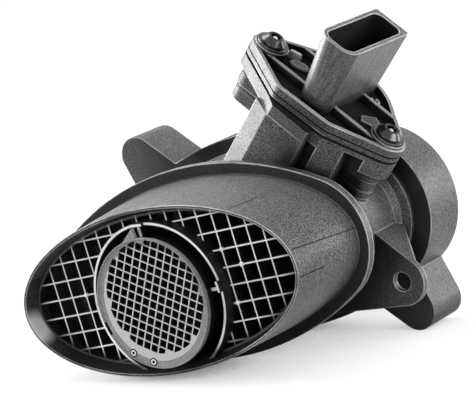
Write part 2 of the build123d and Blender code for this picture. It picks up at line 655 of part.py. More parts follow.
def ring_inset():
    """How far the groove's floor lies inside the neck, as a negative growth."""
    return BORE_CLEARANCE - RING_SQUEEZE - 2 * RING_SECTION - RING_SQUEEZE


def o_ring():
    """Rubber ring of near-round section, laid along the neck's slot outline."""
    grow = BORE_CLEARANCE - RING_SQUEEZE - RING_SECTION
    path = (Pos(0, 0, RING_U) * neck_outline(grow)).face().outer_wire()
    start = path @ 0
    section = Plane(origin=start, z_dir=path % 0) * RegularPolygon(RING_SECTION, RING_SIDES)
    return sweep(section, path)


def chip_box(grow=0.0):
    """Sensing chip on its carrier, from the board's edge down into the bypass channel."""
    middle = TONGUE_REAR - 2.0 - CHANNEL_WIDE - 4.0
    near = TONGUE_HALF - COVER_THICK - 2.0 - BOARD_THICK
    return side_box(middle - CHIP_WIDE / 2 - grow, middle + CHIP_WIDE / 2 + grow,
                    ROOM_LOW - CHIP_LONG + 3, ROOM_LOW + 3, near - CHIP_THICK - grow, near)


def electronics():
    """Base plate, circuit board, chip, the two covers and the temperature sensor."""
    face = TONGUE_HALF - COVER_THICK
    floor = face - BASE_THICK - BOARD_THICK - 2.0
    front = -TONGUE_FRONT + 2.5 + FIT
    rear = TONGUE_REAR - 2.5 - FIT
    plate = side_box(front, rear, ROOM_LOW + FIT, ROOM_HIGH - FIT, floor, floor + BASE_THICK)
    plate -= chip_box(FIT)
    board = side_box(front, rear, ROOM_LOW + FIT, ROOM_HIGH - FIT, floor + BASE_THICK,
                     floor + BASE_THICK + BOARD_THICK)
    split = ROOM_LOW - 1.0
    skin_front = -TONGUE_FRONT + COVER_MARGIN + FIT
    skin_rear = TONGUE_REAR - COVER_MARGIN - FIT
    upper = side_box(skin_front, skin_rear, split + FIT, ROOM_HIGH + COVER_MARGIN - FIT, face, TONGUE_HALF)
    lower = side_box(skin_front, skin_rear, TONGUE_TIP + COVER_MARGIN + FIT, split - FIT, face, TONGUE_HALF)
    outlet = Pos(2.0, ROOM_LOW - 2.0 - CHANNEL_WIDE / 2) * RectangleRounded(6.0, CHANNEL_WIDE - 1, 1.5)
    lower -= extrude(room_side().offset(face - 1) * outlet, COVER_THICK + 2)
    return {"base_plate": plate, "circuit_board": board, "sensor_chip": chip_box(),
            "electronics_cover": upper, "bypass_cover": lower}


def temperature_sensor():
    """Small bead on two bent leads, standing in front of the tongue."""
    high = ROOM_LOW - BEAD_DROP
    shape = None
    for side in (-1, 1):
        z = high + side * BEAD_SPREAD
        lead = Polyline((-TONGUE_FRONT, z), (-TONGUE_FRONT - BEAD_REACH, z), (-TONGUE_FRONT - BEAD_REACH, high))
        path = room_side() * lead
        path = path.moved(Location((1.0, 0, 0)))
        start = Plane(origin=(1.0, -TONGUE_FRONT, z), z_dir=(0, -1, 0)) * Rectangle(2 * BEAD_LEAD, 2 * BEAD_LEAD)
        wire = sweep(start, path, transition=Transition.RIGHT)
        shape = wire if shape is None else shape + wire
    return shape + Pos(1.0, -TONGUE_FRONT - BEAD_REACH, high) * Sphere(BEAD_RADIUS)


def terminal(spot):
    """Flat contact blade with a tapered end, rising from the socket's floor."""
    blade = level(Pos(*spot) * Rectangle(TERMINAL_THICK, TERMINAL_WIDE), PLUG_FLOOR - TERMINAL_ROOT,
                  PLUG_FLOOR + TERMINAL_RISE)
    return chamfer(blade.edges().group_by(Axis.Z)[-1], TERMINAL_THICK * 0.3)


def screw(spot):
    """Pan-head screw with a six-sided socket, drawn from the washer's top."""
    seat = RING_U_TOP + WASHER_THICK
    edge = seat + HEAD_EDGE
    dome = loft([Plane.XY.offset(edge) * Circle(HEAD_RADIUS),
                 Plane.XY.offset(seat + HEAD_RISE) * Circle(HEAD_TOP_RADIUS)], ruled=True)
    head = level(Circle(HEAD_RADIUS), seat, edge) + dome
    head -= level(RegularPolygon(SOCKET_RADIUS, 6), seat + HEAD_RISE - SOCKET_DEPTH, seat + HEAD_RISE + 1)
    shank = level(Circle(SHANK_RADIUS), seat - SHANK_LENGTH, seat)
    shank = chamfer(shank.edges().group_by(Axis.Z)[0], SHANK_RADIUS * 0.3)
    return Pos(*spot, 0) * (head + shank)


def washer(spot):
    """Flat washer under the screw's head."""
    ring = Circle(WASHER_RADIUS) - Circle(SHANK_RADIUS + FIT)
    return Pos(*spot, 0) * level(ring, RING_U_TOP, RING_U_TOP + WASHER_THICK)


def bushing(spot):
    """Metal sleeve that keeps the screw's force off the plastic flange."""
    ring = Circle(BUSHING_RADIUS) - Circle(BUSHING_BORE)
    return Pos(*spot, 0) * level(ring, SEAT_U, RING_U_TOP)


def insert(spot):
    """Threaded brass insert in the tower's screw boss."""
    ring = Circle(INSERT_RADIUS) - Circle(INSERT_BORE)
    return Pos(*spot, 0) * level(ring, SEAT_U - INSERT_LENGTH, SEAT_U)


def build():
    """Every piece of the sensor, by name."""
    rooms, seat = duct_inside()
    pieces = {"housing": housing(), "inlet_grid": inlet_grid(seat), "flow_tube": flow_tube(),
              "mesh_disc": mesh_disc()}
    module = {"sensor_housing": sensor_housing(), "o_ring": o_ring(), "temperature_sensor": temperature_sensor()}
    module.update(electronics())
    for number, spot in enumerate(terminal_spots(), 1):
        module[f"terminal_{number}"] = terminal(spot)
    for side, name in ((-1, "left"), (1, "right")):
        spot = (side * SCREW_SPREAD, 0.0)
        module[f"screw_{name}"] = screw(spot)
        module[f"washer_{name}"] = washer(spot)
        module[f"bushing_{name}"] = bushing(spot)
        module[f"insert_{name}"] = insert(spot)
    for name, piece in module.items():
        pieces[name] = lean(piece)
    return pieces


os.makedirs("parts", exist_ok=True)
for name, piece in build().items():
    piece.label = name
    export_step(piece, f"parts/{name}.step")
    print(name, round(piece.volume, 1), len(piece.solids()))
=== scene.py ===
import math

import bpy
from mathutils import Matrix, Vector


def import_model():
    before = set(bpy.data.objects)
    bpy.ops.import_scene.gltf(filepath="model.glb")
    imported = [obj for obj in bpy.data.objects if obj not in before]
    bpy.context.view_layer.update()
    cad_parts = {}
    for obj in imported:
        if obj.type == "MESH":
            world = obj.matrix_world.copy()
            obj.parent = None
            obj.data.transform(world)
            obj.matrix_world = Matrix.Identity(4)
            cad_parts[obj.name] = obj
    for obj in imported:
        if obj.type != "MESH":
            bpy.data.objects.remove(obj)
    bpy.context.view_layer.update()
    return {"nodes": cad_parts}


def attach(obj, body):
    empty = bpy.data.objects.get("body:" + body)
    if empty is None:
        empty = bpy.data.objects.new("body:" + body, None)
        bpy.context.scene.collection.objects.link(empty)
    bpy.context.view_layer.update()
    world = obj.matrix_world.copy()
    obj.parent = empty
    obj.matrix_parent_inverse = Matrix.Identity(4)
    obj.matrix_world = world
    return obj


# Looks of the mass airflow sensor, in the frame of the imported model: the air flows along +Y, the mouth is
# at -Y and the sensor module leans towards +X. Camera, floor and lamps are in metres.

CAMERA_PLACE = (0.59100, -0.82048, 0.12289)
CAMERA_RIGHT = (0.7830, 0.5506, -0.2894)
CAMERA_UP = (0.1706, 0.2574, 0.9511)
FOCAL_PIXELS = 2682.6
PHOTO_WIDE = 474
SENSOR_MM = 36.0
VIEW_DEPTH = 50.0

# The sensor rests on its rear flange, its front flange and its right ear.
FLOOR_NORMAL = (0.13938, 0.05633, 0.98864)
FLOOR_DEPTH = 0.0403
FLOOR_HALF = 12.0
# Reach of the floor's painted contact shadow, in metres.
CONTACT_SHADE = 0.035
WHITE_NEAR = (0.14, 0.95)
WHITE_FAR = (0.30, 1.0)
WORLD_LIGHT = 0.35

# Each lamp's name, direction as (right, up, towards the camera), size and watts.
LAMP_REACH = 0.9
LAMP_TARGET = (0.0, -0.045, 0.01)
LAMPS = (
    ("left_behind", (-0.90, 0.26, -0.42), (0.6, 0.6), 17.0),
    ("top", (-0.3, 1.0, -0.1), (0.5, 0.5), 6.5),
    ("right_behind", (0.95, 0.3, -0.2), (0.3, 0.5), 4.5),
    ("front", (-0.50, -0.05, 0.85), (0.4, 0.4), 3.2),
    ("right_front", (0.80, 0.10, 0.55), (0.5, 0.5), 6.5),
)

# Places on the sensor, in millimetres. Heights on the tower and the module are measured up the leaned tower.
MM = 0.001
LEAN = math.radians(49.0)
TOWER_Y = -38.85
SEAT = 67.2
TRAY_FLOOR = 69.6
RIM_TOP = 72.8
SCREW_ACROSS = 27.5
SCREW_FLOOR = 75.6
SCREW_MOUTH = 77.14
PLUG_FLOOR = 75.8
PLUG_TOP = 98.8
PLUG_Y = -35.35
STEM_BASE = 38.0
TOWER_FRONT = -62.2
MOUTH_DROP = 1.0
# Where the funnel's inner wall gets painted shade, and the centre of the painted highlight on it.
LIP_START = -60.0
LIP_HIGH = 12.0
LIP_GLEAM = (-60.5, -95.5, -6.5)
TUBE_Z = -4.1
LATTICE_PITCH = 6.5
LATTICE_SHIFT = 1.3
LATTICE_Y = -91.5
LATTICE_BACK = -92.5
# Half width of the painted highlight line on each bar, and the half axes of the oval beyond which painted
# shade darkens the lattice.
LATTICE_LINE = 0.27
FADE_LONG = 59.0
FADE_SHORT = 27.5
DISC_Y = -100.6
DISC_MESH = 20.9
DISC_SIDE = 23.0

# Parting lines on the funnel: place at station zero, slope along the flow, first and last station.
PARTING_HALF = 0.19
PARTING_UPPER = (61.06, 0.2227, -95.5, -81.0)
PARTING_MIDDLE = (-2.26, -0.0673, -96.0, -63.2)
PARTING_LOWER = (-8.50, -0.0312, -96.0, -82.5)

# One fine light line on the rear seat, between two heights up the leaned tower: a painted highlight meant for
# the lands of the right boss.
SEAT_LINE_HIGH = (57.3, 57.8)
SEAT_LINE_MIDDLE = 27.5
SEAT_LINE_HALF = 7.5
SEAT_LINE_START = -7.5

# Small pieces. A profile lists radii and heights. A ring has its own radius and that of its round bar.
# Pieces in the tray are placed across and along the module, with half their length and half their width.
LATTICE_BOSSES = ((-35.75, 1.95), (29.25, 8.45), (35.75, 1.95), (29.25, -11.05))
BOSS_PROFILE = ((0.85, -0.6), (0.85, 0.25), (0.6, 0.45), (0.2, 0.55))
DISC_PITS = ((-14.69, -20.21), (-7.13, -24.66))
PIT_PROFILE = ((1.55, -0.2), (1.55, 0.05), (1.2, 0.10))
DISC_RING = (0.85, 0.22)
RING_PROUD = 0.08
PIN_PROFILE = ((0.85, 0.0), (0.85, 1.0), (0.5, 1.25))
SCREW_RING = (2.45, 0.22)
DETAIL_FOOT = 69.4
TRAY_TURN = 24.0
CLIP_PLACE = (-21.2, 8.4)
CLIP_HALF = (2.6, 0.9)
CLIP_TOP = 72.4
MOUND_PLACE = (-16.6, 5.6)
MOUND_HALF = (3.9, 2.3)
HOOK_PLACE = (10.7, 17.9)
HOOK_RING = (1.5, 0.5)
HOOK_ARC = (30.0, 330.0)
HOOK_HEIGHT = 71.2
POST_HALF = (1.5, 1.4)
POST_TOP = 71.0
LEDGE_OUTLINE = ((13.0, 5.6), (14.9, 2.6), (20.5, 4.5), (20.0, 9.0), (16.6, 10.9))
LEDGE_TOP = 70.6

# How far the masks of edges and creases reach, in metres.
EDGE_ROUND = 0.0008
EDGE_OPEN = 0.003
CREASE = 0.006

# Angles above which neighbouring faces meet in a sharp edge.
CAD_SHARP = math.radians(28)
PIECE_SHARP = math.radians(35)

# Scales of the noise, in cells per metre.
CLOUD = 38.0
SPECK = 2700.0
PIT = 2200.0
EDGE_BREAKUP = 55.0
STREAK = 90.0
FINE_GRAIN = 1000.0
COARSE_GRAIN = 420.0

UPSTREAM = (0, -1, 0)
TOWER_UP = Vector((math.sin(LEAN), 0.0, math.cos(LEAN)))


def mm(*values):
    """Millimetres to a vector in metres."""
    return Vector([value * MM for value in values])


def tower_point(w, y, u):
    """Point given across the module, along the flow and up the tower, in millimetres."""
    x = w * math.cos(LEAN) + u * math.sin(LEAN)
    z = u * math.cos(LEAN) - w * math.sin(LEAN)
    return mm(x, y + TOWER_Y, z)


def grey(value):
    return (value, value, value, 1.0)


class Nodes:
    """Small helper round one node tree."""

    def __init__(self, tree):
        self.tree = tree

    def node(self, kind, **settings):
        made = self.tree.nodes.new(kind)
        for key, value in settings.items():
            setattr(made, key, value)
        return made

    def put(self, socket, value):
        """Link an output to the socket, or set the socket's own value."""
        if isinstance(value, bpy.types.NodeSocket):
            self.tree.links.new(value, socket)
        else:
            socket.default_value = value

    def math(self, operation, first, second=0.0, clamp=False):
        made = self.node("ShaderNodeMath", operation=operation, use_clamp=clamp)
        self.put(made.inputs[0], first)
        self.put(made.inputs[1], second)
        return made.outputs[0]

    def largest(self, *values):
        found = values[0]
        for value in values[1:]:
            found = self.math("MAXIMUM", found, value)
        return found

    def product(self, *values):
        found = values[0]
        for value in values[1:]:
            found = self.math("MULTIPLY", found, value)
        return found

    def size(self, value):
        return self.math("ABSOLUTE", value)

    def above(self, value, limit):
        return self.math("GREATER_THAN", value, limit)

    def below(self, value, limit):
        return self.math("LESS_THAN", value, limit)

    def between(self, value, low, high):
        return self.product(self.above(value, low), self.below(value, high))

    def slide(self, value, start, end, kind="LINEAR"):
        """Number that runs from one (value, number) pair to another and is level outside them."""
        made = self.node("ShaderNodeMapRange", interpolation_type=kind)
        self.put(made.inputs["Value"], value)
        for key, number in zip(("From Min", "To Min", "From Max", "To Max"), start + end):
            made.inputs[key].default_value = number
        return made.outputs["Result"]

    def ramp(self, value, stops):
        """Number worked out between several (value, number) stops."""
        low, high = stops[0][0], stops[-1][0]
        made = self.node("ShaderNodeValToRGB")
        while len(made.color_ramp.elements) < len(stops):
            made.color_ramp.elements.new(0.5)
        for element, (where, number) in zip(made.color_ramp.elements, stops):
            element.position = (where - low) / (high - low)
            element.color = grey(number)
        self.put(made.inputs["Fac"], self.slide(value, (low, 0.0), (high, 1.0)))
        return made.outputs["Color"]

    def shown(self):
        """One for camera, glossy and transmission rays, and nothing for the light on the sensor."""
        path = self.node("ShaderNodeLightPath")
        kinds = ("Camera", "Glossy", "Transmission")
        return self.largest(*[path.outputs[f"Is {kind} Ray"] for kind in kinds])


class Material(Nodes):
    """One material with a Principled shader."""

    def __init__(self, name, **values):
        self.material = bpy.data.materials.new(name)
        self.material.use_nodes = True
        super().__init__(self.material.node_tree)
        self.shader = self.tree.nodes["Principled BSDF"]
        for key, value in values.items():
            self.shader.inputs[key.replace("_", " ")].default_value = value

    def place(self):
        return self.node("ShaderNodeTexCoord").outputs["Object"]

    def normal(self, kind="Normal"):
        return self.node("ShaderNodeNewGeometry").outputs[kind]

    def axes(self, vector):
        made = self.node("ShaderNodeSeparateXYZ")
        self.put(made.inputs[0], vector)
        return made.outputs[0], made.outputs[1], made.outputs[2]

    def turned_back(self, vector, lean, units=(1.0, 1.0, 1.0)):
        """Vector turned back by a lean about Y and counted in these units."""
        made = self.node("ShaderNodeMapping", vector_type="TEXTURE")
        made.inputs["Rotation"].default_value = (0.0, lean, 0.0)
        made.inputs["Scale"].default_value = units
        self.put(made.inputs["Vector"], vector)
        return made.outputs["Vector"]

    def in_mm(self, lean=0.0):
        """Place on the sensor in millimetres."""
        return self.turned_back(self.place(), lean, (MM, MM, MM))

    def noise(self, scale, detail=2.0, rough=0.5, vector=None):
        made = self.node("ShaderNodeTexNoise")
        for key, value in (("Scale", scale), ("Detail", detail), ("Roughness", rough)):
            made.inputs[key].default_value = value
        self.put(made.inputs["Vector"], vector or self.place())
        return made.outputs["Fac"]

    def mix(self, factor, first, second):
        made = self.node("ShaderNodeMix", data_type="RGBA")
        for socket, value in ((made.inputs[0], factor), (made.inputs[6], first), (made.inputs[7], second)):
            self.put(socket, value)
        return made.outputs[2]

    def bevel(self, radius):
        made = self.node("ShaderNodeBevel", samples=6)
        made.inputs["Radius"].default_value = radius
        return made.outputs["Normal"]

    def edge_highlight_mask(self, normal, low, high):
        """Mask of the edges: where the rounded normal leaves the face's own."""
        made = self.node("ShaderNodeVectorMath", operation="DOT_PRODUCT")
        self.put(made.inputs[0], normal)
        self.put(made.inputs[1], self.normal())
        return self.slide(self.math("SUBTRACT", 1.0, made.outputs["Value"]), (low, 0.0), (high, 1.0))

    def openness(self, distance, low, high):
        """Mask that is dark in creases and light on open faces."""
        made = self.node("ShaderNodeAmbientOcclusion", samples=8)
        made.inputs["Distance"].default_value = distance
        return self.slide(made.outputs["AO"], (low, 0.0), (high, 1.0))

    def bump(self, heights, normal=None):
        """Bump from (noise scale, strength, depth) triples over rounded edges."""
        for scale, strength, depth in heights:
            made = self.node("ShaderNodeBump")
            made.inputs["Strength"].default_value = strength
            made.inputs["Distance"].default_value = depth
            self.put(made.inputs["Height"], self.noise(scale))
            if normal:
                self.put(made.inputs["Normal"], normal)
            normal = made.outputs["Normal"]
        self.put(self.shader.inputs["Normal"], normal)

    def finish(self, colour, rough=None):
        """Link the colour and the roughness, and hand over the material."""
        self.put(self.shader.inputs["Base Color"], colour)
        if rough:
            self.put(self.shader.inputs["Roughness"], rough)
        return self.material


def inward(made, first, second, aim_first, aim_second):
    """Mask of the walls that look towards an axis; first and second are millimetres from it."""
    towards = made.math("ADD", made.product(aim_first, first), made.product(aim_second, second))
    return made.below(towards, -2.0)


def spared_from_painted_shade(made, spot):
    """Share of their own grey that some upstream faces keep out of the painted shade; the rest of those faces
    get painted shade, nearly black.
    """
    x, y, z = made.axes(spot)
    across, _, high = made.axes(made.in_mm(LEAN))
    stem = made.slide(across, (-7.0, 0.85), (9.0, 0.0))
    crown = made.slide(high, (54.0, 0.0), (62.0, 1.0))
    crown = made.product(crown, made.slide(across, (0.0, 0.65), (25.0, 0.2)))
    tower = made.product(made.largest(stem, crown), made.above(high, STEM_BASE))
    tower = made.product(tower, made.between(y, TOWER_FRONT, 0.0))
    ends = made.product(made.slide(made.size(x), (38.0, 0.0), (56.0, 1.0)), made.above(y, -50.0),
                        made.slide(made.size(z), (3.0, 0.1), (27.0, 0.6)))
    return made.largest(tower, ends)


def filled_plastic(name, dark, light, rough, grain=0.5, highlight_grey=0.9, marks=None, deep=0.0):
    """Glass-filled moulded plastic: clouded grey, a fine speckle, painted shade in creases and a painted
    highlight on the edges.

    Faces that look upstream are darker with painted shade. Marks is a function that gives two masks, a light
    and a black one.
    Deep is the distance, in metres, within which facing walls turn a cavity black with painted shade.
    """
    made = Material(name, Specular_IOR_Level=0.22)
    spot = made.in_mm()
    colour = made.slide(made.noise(CLOUD, 4.0, 0.6), (0.3, dark), (0.72, light))
    speck = made.slide(made.noise(SPECK, 2.0, 0.7), (0.48, 0.0), (0.56, 1.0))
    colour = made.mix(made.product(speck, 0.7), colour, grey(light * 3.4))
    pit = made.slide(made.noise(PIT, 2.0, 0.7), (0.40, 0.0), (0.47, 1.0))
    colour = made.mix(pit, grey(dark * 0.12), colour)
    # Painted shade: faces that look upstream turn nearly black, except for the share that parts of the tower
    # and the flanges' ends keep.
    front = made.slide(made.axes(made.normal())[1], (-0.99, 1.0), (-0.93, 0.0))
    front = made.product(front, made.math("SUBTRACT", 1.0, spared_from_painted_shade(made, spot)))
    colour = made.mix(made.product(front, 0.9), colour, grey(dark * 0.08))
    normal = made.bevel(EDGE_ROUND)
    # Painted highlight: a pale grey along the edges, broken up by noise.
    patchy = made.slide(made.noise(EDGE_BREAKUP, 3.0, 0.6), (0.35, 0.3), (0.6, 1.0))
    edge_highlight = made.product(made.edge_highlight_mask(normal, 0.008, 0.08), made.openness(EDGE_OPEN, 0.55, 0.75))
    edge_highlight = made.product(edge_highlight, patchy, 0.95)
    colour = made.mix(edge_highlight, colour, grey(highlight_grey))
    # Painted shade in creases.
    colour = made.mix(made.openness(CREASE, 0.3, 0.8), grey(dark * 0.12), colour)
    # Painted shade, near black, deep in cavities.
    if deep:
        colour = made.mix(made.openness(deep, 0.3, 0.62), grey(0.002), colour)
    matt = front
    if marks:
        # The light mark holds painted highlights and the connector's lighter streaks; the black mark holds
        # painted shade, besides the funnel's parting lines.
        light_mark, black_mark = marks(made, spot)
        colour = made.mix(light_mark, colour, grey(0.8))
        colour = made.mix(black_mark, colour, grey(0.003))
        matt = made.largest(front, made.product(black_mark, 3.0))
    streak = made.slide(made.noise(STREAK, 3.0, 0.6), (0.3, rough - 0.06), (0.7, rough + 0.07))
    made.bump(((FINE_GRAIN, grain * 0.5, 0.0002), (COARSE_GRAIN, grain * 0.25, 0.0004)), normal)
    return made.finish(colour, made.math("ADD", streak, made.product(matt, 0.35), clamp=True))


def parting_line(made, across, along, offset, slope, start, end):
    """Mask of one fine line on the funnel; it runs along the flow between two stations."""
    gap = made.math("SUBTRACT", made.math("SUBTRACT", across, offset), made.product(along, slope))
    return made.product(made.below(made.size(gap), PARTING_HALF), made.between(along, start, end))


def funnel_lines(made, x, y, z):
    """Parting lines of the mould's slides on the funnel's right half."""
    upper = made.product(parting_line(made, x, y, *PARTING_UPPER), made.above(z, 0.0))
    middle = parting_line(made, z, y, *PARTING_MIDDLE)
    lower = parting_line(made, z, y, *PARTING_LOWER)
    side = made.product(made.largest(middle, lower), made.above(x, 50.0))
    return made.product(made.largest(upper, side), 0.85)


def inner_lip(made, spot):
    """Two masks of the funnel's inner wall: a painted highlight at its left end, and painted shade, near
    black, on its rest.
    """
    x, y, z = made.axes(spot)
    aim = made.axes(made.normal())
    wall = made.product(inward(made, x, made.math("ADD", z, MOUTH_DROP), aim[0], aim[2]),
                        made.below(y, LIP_START), made.below(z, LIP_HIGH))
    gap = made.node("ShaderNodeVectorMath", operation="DISTANCE")
    made.put(gap.inputs[0], spot)
    gap.inputs[1].default_value = LIP_GLEAM
    # Painted highlight round LIP_GLEAM on the inner wall.
    patch = made.product(made.slide(gap.outputs["Value"], (1.5, 1.0), (8.5, 0.0)), wall, 1.6)
    depth = made.slide(x, (-58.0, 0.45), (-48.0, 0.95))
    return patch, made.product(wall, made.math("SUBTRACT", 1.0, patch, clamp=True), depth)


def seam(made, high):
    """Painted shade in the gap between the module's flange and the duct's pad."""
    return made.between(high, SEAT - 0.5, SEAT + 0.5)


def seat_line(made, across, y, high):
    """Fine light line on the rear seat, a painted highlight meant for the lands of the right boss."""
    near = made.size(made.math("SUBTRACT", across, SEAT_LINE_MIDDLE))
    line = made.product(made.between(high, *SEAT_LINE_HIGH), made.below(near, SEAT_LINE_HALF))
    return made.product(line, made.above(y, SEAT_LINE_START), 0.4)


def duct_marks(made, spot):
    """Light and black masks of the duct.

    The light one has a painted highlight on the inner lip and on a line on the rear seat. The black one has
    the parting lines, and painted shade on the rest of the inner lip, in the seam, and in a patch each on the
    stem's front and the rear flange.
    """
    x, y, z = made.axes(spot)
    across, _, high = made.axes(made.in_mm(LEAN))
    patch, black_wall = inner_lip(made, spot)
    # Painted shade in a band on the stem's front, fading out upwards.
    stem = made.product(made.ramp(across, ((0.0, 0.0), (8.0, 0.9), (12.0, 0.85), (19.0, 0.0))),
                        made.slide(high, (52.0, 1.0), (62.0, 0.0)),
                        made.above(high, STEM_BASE), made.between(y, TOWER_FRONT, -45.0))
    # Painted shade on the rear flange's left top.
    shoulder = made.product(made.slide(z, (26.0, 0.0), (34.0, 0.55)),
                            made.ramp(x, ((-34.0, 0.0), (-22.0, 1.0), (-12.0, 1.0), (0.0, 0.2))),
                            made.between(y, -40.0, -2.0))
    light = made.largest(patch, seat_line(made, across, y, high))
    return light, made.largest(funnel_lines(made, x, y, z), black_wall, shoulder, stem, seam(made, high))


def module_marks(made, spot):
    """Light and black masks of the module.

    The light one has a painted highlight on the rib tops, and streaks and a painted sheen on the connector.
    The black one has painted shade on the tray's floor, in the connector's socket and in the seam.
    """
    across, y, high = made.axes(made.in_mm(LEAN))
    aim = made.axes(made.turned_back(made.normal(), LEAN))
    # Painted shade on the tray's floor and in the connector's socket.
    floor = made.between(high, TRAY_FLOOR - 0.3, TRAY_FLOOR + 0.3)
    socket = made.product(inward(made, across, made.math("SUBTRACT", y, PLUG_Y), aim[0], aim[1]),
                          made.between(high, PLUG_FLOOR - 0.8, PLUG_TOP - 0.4))
    # Painted highlight on the rib tops that face up.
    tops = made.product(made.between(high, RIM_TOP - 0.2, RIM_TOP + 0.2), made.above(aim[2], 0.9))
    drawn = made.turned_back(made.place(), LEAN, (1.0, 1.0, 20.0))
    streaks = made.slide(made.noise(700.0, 3.0, 0.6, drawn), (0.35, 0.0), (0.75, 0.13))
    # Painted sheen on the connector's left front corner.
    corner = made.ramp(aim[0], ((-0.95, 0.2), (-0.75, 1.0), (-0.5, 1.0), (-0.25, 0.0)))
    sheen = made.product(corner, made.slide(made.noise(STREAK, 2.0, 0.5, drawn), (0.3, 0.10), (0.7, 0.34)))
    plug = made.product(made.above(high, PLUG_FLOOR + 0.2), made.largest(streaks, sheen))
    return made.largest(made.product(tops, 0.16), plug), made.largest(floor, socket, seam(made, high))


def lattice_line(made, place, shift):
    """Distance from the nearest bar's centre line; the bars stand a half pitch off the middle."""
    cell = made.math("FRACT", made.math("DIVIDE", made.math("ADD", place, shift), LATTICE_PITCH))
    return made.product(made.size(made.math("SUBTRACT", cell, 0.5)), LATTICE_PITCH)


def square(made, value, unit):
    return made.math("POWER", made.size(made.math("DIVIDE", value, unit)), 2.0)


def lattice_plastic():
    """Lattice: front edges pale with a painted highlight, which painted shade darkens towards the hoop, and
    nearly black flanks.
    """
    made = Material("lattice_plastic", Roughness=0.5)
    x, y, z = made.axes(made.in_mm())
    front = made.slide(made.axes(made.normal("True Normal"))[1], (-0.9, 1.0), (-0.6, 0.0))
    pale = made.slide(made.noise(60.0, 3.0, 0.6), (0.3, 0.60), (0.7, 0.95))
    # Painted shade darkens the bars towards the hoop.
    out = made.math("ADD", square(made, x, FADE_LONG), square(made, z, FADE_SHORT))
    pale = made.mix(made.slide(out, (0.78, 0.0), (0.97, 1.0)), pale, grey(0.03))
    # A fine line along each bar's middle, and what stands in front of LATTICE_BACK, keeps the painted
    # highlight; the rest of the front is nearly black.
    middle = made.math("MINIMUM", lattice_line(made, x, 0.0), lattice_line(made, z, LATTICE_SHIFT))
    crest = made.largest(made.below(middle, LATTICE_LINE), made.below(y, LATTICE_BACK))
    pale = made.mix(crest, grey(0.02), pale)
    made.bump(((1500.0, 0.1, 0.0002),))
    return made.finish(made.mix(front, grey(0.006), pale))


def disc_plastic():
    """Light grey plastic of the mesh disc, with a paler mesh, darker with painted shade on the walls of its
    holes.
    """
    made = Material("disc_plastic", Roughness=0.55)
    x, _, z = made.axes(made.in_mm())
    high = made.math("SUBTRACT", z, TUBE_Z)
    reach = made.math("SQRT", made.math("ADD", made.product(high, high), made.product(x, x)))
    cloud = made.slide(made.noise(160.0, 3.0, 0.6), (0.3, 0.15), (0.7, 0.22))
    cloud = made.mix(made.below(reach, DISC_MESH), cloud, grey(0.5))
    speck = made.slide(made.noise(1900.0, 1.0), (0.45, 0.0), (0.65, 0.22))
    colour = made.mix(speck, cloud, grey(0.75))
    # Painted shade on the walls of the holes inside DISC_SIDE.
    front = made.slide(made.size(made.axes(made.normal("True Normal"))[1]), (0.5, 0.0), (0.8, 1.0))
    pale = made.largest(front, made.above(reach, DISC_SIDE))
    made.bump(((1400.0, 0.12, 0.0002),), made.bevel(0.00025))
    return made.finish(made.mix(pale, grey(0.012), colour))


def metal(name, colour, rough):
    """Turned or plated metal with fine scratches."""
    made = Material(name, Metallic=1.0)
    cloud = made.slide(made.noise(300.0, 3.0, 0.6), (0.3, colour * 0.8), (0.7, colour * 1.15))
    made.bump(((1800.0, 0.1, 0.0002),), made.bevel(0.0003))
    return made.finish(cloud, made.slide(made.noise(900.0, 3.0), (0.3, rough * 0.7), (0.7, rough * 1.3)))


def coated(name, colour, rough):
    """Smooth coated surface with a slight cloud."""
    made = Material(name)
    cloud = made.slide(made.noise(200.0), (0.3, colour * 0.85), (0.7, colour * 1.15))
    made.bump(((1200.0, 0.06, 0.0002),))
    return made.finish(cloud, made.slide(made.noise(500.0), (0.3, rough * 0.85), (0.7, rough * 1.15)))


def piece(name, points, faces, material):
    """New rigid piece from points in metres; it rides on the sensor's one body."""
    data = bpy.data.meshes.new(name)
    data.from_pydata([tuple(point) for point in points], [], faces)
    data.update()
    made = bpy.data.objects.new(name, data)
    bpy.context.scene.collection.objects.link(made)
    data.materials.append(material)
    data.shade_smooth()
    data.set_sharp_from_angle(angle=PIECE_SHARP)
    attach(made, "root")
    return made


def skin(rows, sides, closed=False):
    """Faces over rows of points; the ends are capped, unless the last row meets the first."""
    faces = []
    for row in range(rows if closed else rows - 1):
        near = row * sides
        far = (row + 1) % rows * sides
        for step in range(sides):
            ahead = (step + 1) % sides
            faces.append((near + step, near + ahead, far + ahead, far + step))
    if not closed:
        faces.append(tuple(reversed(range(sides))))
        faces.append(tuple(range((rows - 1) * sides, rows * sides)))
    return faces


def spoke(axis, turn):
    """Unit vector square to an axis, at a turn about it."""
    side = axis.orthogonal().normalized()
    return side * math.cos(turn) + axis.cross(side) * math.sin(turn)


def turned(name, centre, axis, profile, material, sides=20):
    """Closed turned piece from (radius, height) pairs in millimetres, from its foot to its top."""
    axis = Vector(axis).normalized()
    spokes = [spoke(axis, 2 * math.pi * step / sides) for step in range(sides)]
    points = [centre + axis * height * MM + out * radius * MM for radius, height in profile for out in spokes]
    return piece(name, points, skin(len(profile), sides), material)


def ring(name, centre, axis, radius, thick, material, slot, start=0.0, end=360.0, steps=28, sides=8):
    """Round bar bent to a ring, or to an arc with closed ends; sizes in millimetres."""
    axis = Vector(axis).normalized()
    whole = end - start >= 360.0
    rows = steps if whole else steps + 1
    points = []
    for row in range(rows):
        out = spoke(axis, math.radians(start + (end - start) * row / steps))
        for step in range(sides):
            around = 2 * math.pi * step / sides
            place = out * (radius + thick * math.cos(around)) + axis * (thick * math.sin(around))
            points.append(centre + place * MM)
    return piece(name, points, skin(rows, sides, whole), material)


